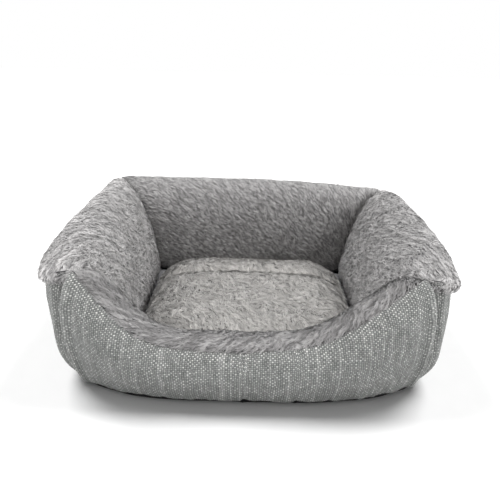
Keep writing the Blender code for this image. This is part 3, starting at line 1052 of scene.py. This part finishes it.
def resample(grid, columns, rows):
    """A coarse grid of vectors, smoothly enlarged."""
    i = np.linspace(0, grid.shape[0] - 1.001, columns)
    j = np.linspace(0, grid.shape[1] - 1.001, rows)
    low_i, low_j = i.astype(int), j.astype(int)
    fi, fj = smooth(i - low_i)[:, None, None], smooth(j - low_j)[None, :, None]
    first = mix(grid[low_i][:, low_j], grid[low_i + 1][:, low_j], fi)
    second = mix(grid[low_i][:, low_j + 1], grid[low_i + 1][:, low_j + 1], fi)
    return mix(first, second, fj)


SIM_COLUMNS, SIM_ROWS = 56, 42
SIM_FRAMES = 20
SIM_SHRINK = 0.985  # the case starts this much smaller
SIM_CAP = 0.005  # the furthest that any point may move
SIM_PRESSURE = 4
SIM_STIFFNESS = 25
SIM_BENDING = 0.4


def inflate_cushion():
    """How the pillow's two faces move when its sewn case is blown up, as two coarse grids."""
    across, back = eased(SIM_COLUMNS)[:, None], eased(SIM_ROWS)[None, :]
    top = cushion_points(across, back, 0, CUSHION_UP)
    bottom = cushion_points(across, back, 0, -CUSHION_DOWN)
    index = np.arange(top.shape[0] * top.shape[1]).reshape(top.shape[:2])
    inside = np.zeros(index.shape, bool)
    inside[1:-1, 1:-1] = True
    lower = index.copy()
    lower[inside] = index.size + np.arange(inside.sum())
    rest = np.concatenate([top.reshape(-1, 3), bottom[inside]])
    centre = rest.mean(axis=0)
    start = centre + (rest - centre) * SIM_SHRINK
    faces = grid_faces(*index.shape)
    under = lower.ravel()[faces]
    quads = np.concatenate([faces, under[:, ::-1]])
    obj = finish_mesh("cushion_inflating", start, quads, [])
    cloth = obj.modifiers.new("Cloth", "CLOTH")
    settings = cloth.settings
    settings.use_pressure = True
    settings.uniform_pressure_force = SIM_PRESSURE
    settings.tension_stiffness = settings.compression_stiffness = SIM_STIFFNESS
    settings.bending_stiffness = SIM_BENDING
    settings.effector_weights.gravity = 0
    cloth.collision_settings.use_collision = False
    cloth.point_cache.frame_start = 1
    cloth.point_cache.frame_end = SIM_FRAMES
    scene = bpy.context.scene
    for step in range(1, SIM_FRAMES + 1):
        scene.frame_set(step)
    evaluated = obj.evaluated_get(bpy.context.evaluated_depsgraph_get())
    shaped = np.zeros(len(rest) * 3, np.float32)
    evaluated.data.vertices.foreach_get("co", shaped)
    shift = shaped.reshape(-1, 3) - rest
    far = np.linalg.norm(shift, axis=1, keepdims=True)
    shift *= np.minimum(1, SIM_CAP / np.maximum(far, 1e-9))
    scene.frame_set(1)
    bpy.data.objects.remove(obj)
    return [shift[index], shift[lower]]


def cushion_wrinkles(across, back, seed):
    """Soft dents over the top, and small pleats round the sewn edge."""
    rim = np.maximum(np.abs(across), np.abs(back))
    dents = 0.0035 * layered_noise(across * 3.1, back * 2.3, seed) * (1 - rim**6)
    around = np.arctan2(back, across) * 14
    pleats = 0.0020 * noise(around, rim * 0, seed + 3) * bump_at(rim, 0.93, 0.06)
    return dents + pleats


def make_cushion():
    shifts = [resample(shift, CUSHION_COLUMNS, CUSHION_ROWS) for shift in inflate_cushion()]
    across, back = eased(CUSHION_COLUMNS)[:, None], eased(CUSHION_ROWS)[None, :]
    top = cushion_points(across, back, 0, CUSHION_UP) + shifts[0]
    under = cushion_points(across, back, 0, -CUSHION_DOWN) + shifts[1]
    under[..., 2] = np.maximum(under[..., 2], under_low.z)
    middle = np.array([0, CUSHION_Y, CUSHION_EDGE_Z])
    cloth = np.stack([top[..., 0], top[..., 1], 0 * top[..., 0]], axis=-1)
    still_edge = smooth((1 - np.maximum(np.abs(across), np.abs(back))) / 0.02)
    height = (cushion_wrinkles(across, back, 960) - CUSHION_PILE_ROOM) * still_edge
    shaped = moved(make_surface(top, middle)._replace(cloth=cloth), height)
    cover = grid_object("cushion_top", shaped, CUSHION_SHADED_GROUND)
    pile = Pile(62000, 0.0092, 0.0013, 0.0022, 0.20, CUSHION_PAINTED_LIGHT_TONES)
    locks = grow_pile("cushion_pile", shaped, CUSHION_LIE, pile, 970)
    lower = grid_object("cushion_bottom", make_surface(under, middle), LINING)
    filling = make_cushion_filling(shaped.points, under, middle)
    label([cover, locks], "cushion", "cushion_top_cover")
    label([lower], "cushion", "cushion_bottom_cover")
    area, under_area = (min(area_of(face), CUSHION_CUT[0] * CUSHION_CUT[1]) for face in (top, under))


def make_cushion_filling(top, under, middle):
    """The fibre inside the cushion: its two faces, drawn in."""
    shrink = np.array([0.962, 0.950, 1.0])
    upper, lower = (middle + (face[::3, ::3] - middle) * shrink for face in (top, under))
    thick = (upper[..., 2] - lower[..., 2]) / 2
    upper[..., 2] -= np.minimum(0.006, 0.8 * thick)
    lower[..., 2] += np.minimum(0.0022, 0.5 * thick)
    filling = pillow_mesh("cushion_filling", upper, lower, FIBRE)
    label([filling], "cushion", "cushion_fill")
    return filling


# ------------ camera, floor and light

LENS = 31.68  # millimetres
SENSOR_WIDTH = 36
CAMERA_PLACE = (0, -0.7195, 0.518)
CAMERA_PITCH = 62  # degrees up from looking straight down
CAMERA_ROLL = 1.3


def make_camera():
    camera = link_object("camera", bpy.data.cameras.new("camera"))
    camera.data.lens = LENS
    camera.data.sensor_width = SENSOR_WIDTH
    pitch = Matrix.Rotation(math.radians(CAMERA_PITCH), 4, "X")
    roll = Matrix.Rotation(math.radians(CAMERA_ROLL), 4, "Z")
    camera.matrix_world = Matrix.Translation(CAMERA_PLACE) @ (pitch @ roll)
    bpy.context.scene.camera = camera


FLOOR_NAME = "pale_floor"
FLOOR_HALF = 4.0


def make_floor():
    corners = FLOOR_HALF * np.array([[-1, -1, 0], [1, -1, 0], [1, 1, 0], [-1, 1, 0]])
    nodes = Nodes("pale_floor_paint", 0.9)
    speckle = nodes.noise(nodes.object_point(), 30.0, 3.0)
    nodes.paint(speckle, (0.0, (0.92, 0.92, 0.92)), (1.0, (0.95, 0.95, 0.95)))
    floor = finish_mesh(FLOOR_NAME, corners, np.array([[0, 1, 2, 3]]), [nodes.material])


SURROUND = 0.26  # the white surroundings, as the object sees them
Sun = namedtuple("Sun", "name strength tilt_back tilt_right spread")  # tilts and spread in degrees
FLOOR_LIGHTS = [Sun("floor_left_softbox", 3.3, 28, -34, 30), Sun("floor_right_softbox", 3.3, 28, 34, 30)]
OBJECT_LIGHTS = [
    Sun("overhead_softbox", 2.0, 4, 0, 40),
    Sun("right_softbox", 2.5, -12, 58, 40),
    Sun("left_softbox", 2.0, -12, -58, 40),
]


def add_sun(sun, pieces):
    """A sun that lights these pieces and nothing else."""
    data = bpy.data.lights.new(sun.name, "SUN")
    data.energy = sun.strength
    data.angle = math.radians(sun.spread)
    light = link_object(sun.name, data)
    light.rotation_euler = (math.radians(-sun.tilt_back), math.radians(sun.tilt_right), 0)
    light.light_linking.receiver_collection = bpy.data.collections.new(f"{sun.name}_lights")
    for piece in pieces:
        light.light_linking.receiver_collection.objects.link(piece)


def make_lights():
    world = bpy.data.worlds.new("white_studio")
    world.use_nodes = True
    tree = world.node_tree
    background = tree.nodes["Background"]
    background.inputs["Color"].default_value = (1, 1, 1, 1)
    path = tree.nodes.new("ShaderNodeLightPath")
    strength = tree.nodes.new("ShaderNodeMapRange")
    strength.inputs["To Min"].default_value = SURROUND
    strength.inputs["To Max"].default_value = 1.0
    tree.links.new(path.outputs["Is Camera Ray"], strength.inputs["Value"])
    tree.links.new(strength.outputs[0], background.inputs["Strength"])
    bpy.context.scene.world = world
    bpy.context.scene.view_settings.view_transform = "Standard"
    floor = bpy.data.objects[FLOOR_NAME]
    pieces = [obj for obj in bpy.data.objects if obj.type == "MESH" and obj is not floor]
    for sun in FLOOR_LIGHTS:
        add_sun(sun, [floor])
    for sun in OBJECT_LIGHTS:
        add_sun(sun, pieces)


make_camera()
make_floor()
make_base_pad()
make_base_sheet()
make_well_lining()
for side_name, side_wall in WALLS.items():
    wall_filling = make_filling(side_name, side_wall)
    make_woven_panel(side_name, side_wall)
    make_plush_panel(side_name, side_wall)
    make_seam_shadow_cord(side_name, side_wall)
    make_turned_edge(side_name, side_wall)
make_cushion()
make_lights()
